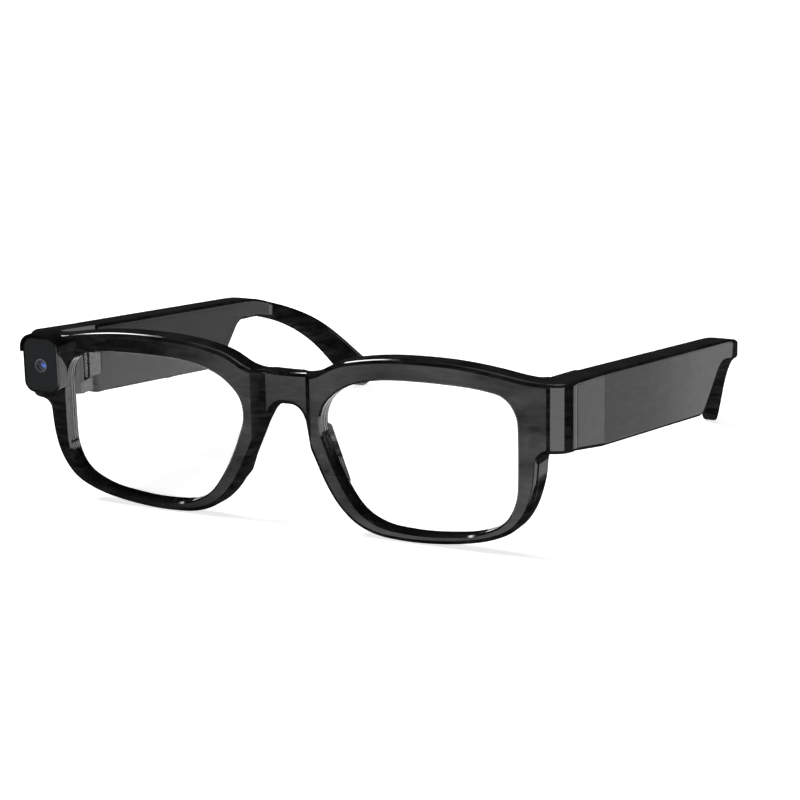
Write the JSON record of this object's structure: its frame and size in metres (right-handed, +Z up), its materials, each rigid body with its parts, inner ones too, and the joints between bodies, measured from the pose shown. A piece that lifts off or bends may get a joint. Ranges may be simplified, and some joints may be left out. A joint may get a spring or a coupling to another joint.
{
  "type": "smart glasses",
  "caption": "Black smart glasses: a full-rim front with clear lenses and a camera block, and two wide folding temples that hold the batteries, speakers and buttons.",
  "frame": {"origin": "middle of the bounding box's underside, where the lower rims and the ear tips stand on a surface", "axes": "+Y from the lenses back towards the ears, +Z up, +X to the wearer's left"},
  "size_m": [0.1536, 0.1628, 0.0441],
  "materials": {
    "frame_plastic": "polished black moulding",
    "cover_plastic": "smooth black moulding, a little softer than the outside",
    "clear_lens": "clear, coated",
    "nose_pad_plastic": "polished black moulding",
    "hinge_steel": "dark plated",
    "pin_steel": "satin",
    "screw_steel": "satin",
    "housing_plastic": "polished black moulding",
    "hood_plastic": "polished black moulding",
    "window_glass": "smoke tinted, polished",
    "inner_plastic": "matt black",
    "optic_glass": "coated, blue reflection",
    "sensor_silicon": "dark",
    "circuit_board": "solder mask",
    "light_guide": "milky",
    "flex_film": "polyimide film",
    "battery_pouch": "foil pouch",
    "speaker_plastic": "matt",
    "grille_steel": "black, perforated",
    "contact_gold": "gold plated",
    "button_plastic": "polished black moulding"
  },
  "bodies": {
    "front": {"front_frame": "frame_plastic", "lens_left": "clear_lens", "nose_pad_left": "nose_pad_plastic", "end_cover_left": "cover_plastic", "front_leaf_left": "hinge_steel", "hinge_pin_left": "pin_steel", "front_leaf_screws_left": "screw_steel", "lens_right": "clear_lens", "nose_pad_right": "nose_pad_plastic", "end_cover_right": "cover_plastic", "front_leaf_right": "hinge_steel", "hinge_pin_right": "pin_steel", "front_leaf_screws_right": "screw_steel", "camera_housing": "housing_plastic", "camera_hood": "hood_plastic", "camera_window": "window_glass", "camera_holder": "inner_plastic", "camera_barrel": "inner_plastic", "camera_lens": "optic_glass", "image_sensor": "sensor_silicon", "camera_board": "circuit_board", "capture_light": "light_guide", "camera_flex": "flex_film"},
    "temple_left": {"temple_shell_left": "frame_plastic", "temple_cover_left": "cover_plastic", "temple_leaf_left": "hinge_steel", "temple_leaf_screws_left": "screw_steel", "battery_left": "battery_pouch", "temple_board_left": "circuit_board", "speaker_left": "speaker_plastic", "speaker_grille_left": "grille_steel", "temple_flex_left": "flex_film", "microphone": "sensor_silicon", "charging_contacts": "contact_gold"},
    "temple_right": {"temple_shell_right": "frame_plastic", "temple_cover_right": "cover_plastic", "temple_leaf_right": "hinge_steel", "temple_leaf_screws_right": "screw_steel", "battery_right": "battery_pouch", "temple_board_right": "circuit_board", "speaker_right": "speaker_plastic", "speaker_grille_right": "grille_steel", "temple_flex_right": "flex_film", "power_switch": "circuit_board", "capture_switch": "circuit_board"},
    "power_button": {"power_button": "button_plastic"},
    "capture_button": {"capture_button": "button_plastic"}
  },
  "joints": [
    {"name": "temple_left_hinge", "type": "hinge", "parent": "front", "child": "temple_left", "pos_m": [0.0677, -0.05712, 0.03229], "axis": [0, -0.0401, 0.9992], "range_deg": [0, 90]},
    {"name": "temple_right_hinge", "type": "hinge", "parent": "front", "child": "temple_right", "pos_m": [-0.0677, -0.05712, 0.03229], "axis": [0, 0.0401, -0.9992], "range_deg": [0, 75]},
    {"name": "power_button_press", "type": "slide", "parent": "temple_right", "child": "power_button", "axis": [-0.0054, 0.0836, 0.9965], "range_m": [0, 0.0004], "stiffness_N_per_m": 600},
    {"name": "capture_button_press", "type": "slide", "parent": "temple_right", "child": "capture_button", "axis": [-0.0054, 0.0836, 0.9965], "range_m": [0, 0.0004], "stiffness_N_per_m": 600}
  ]
}
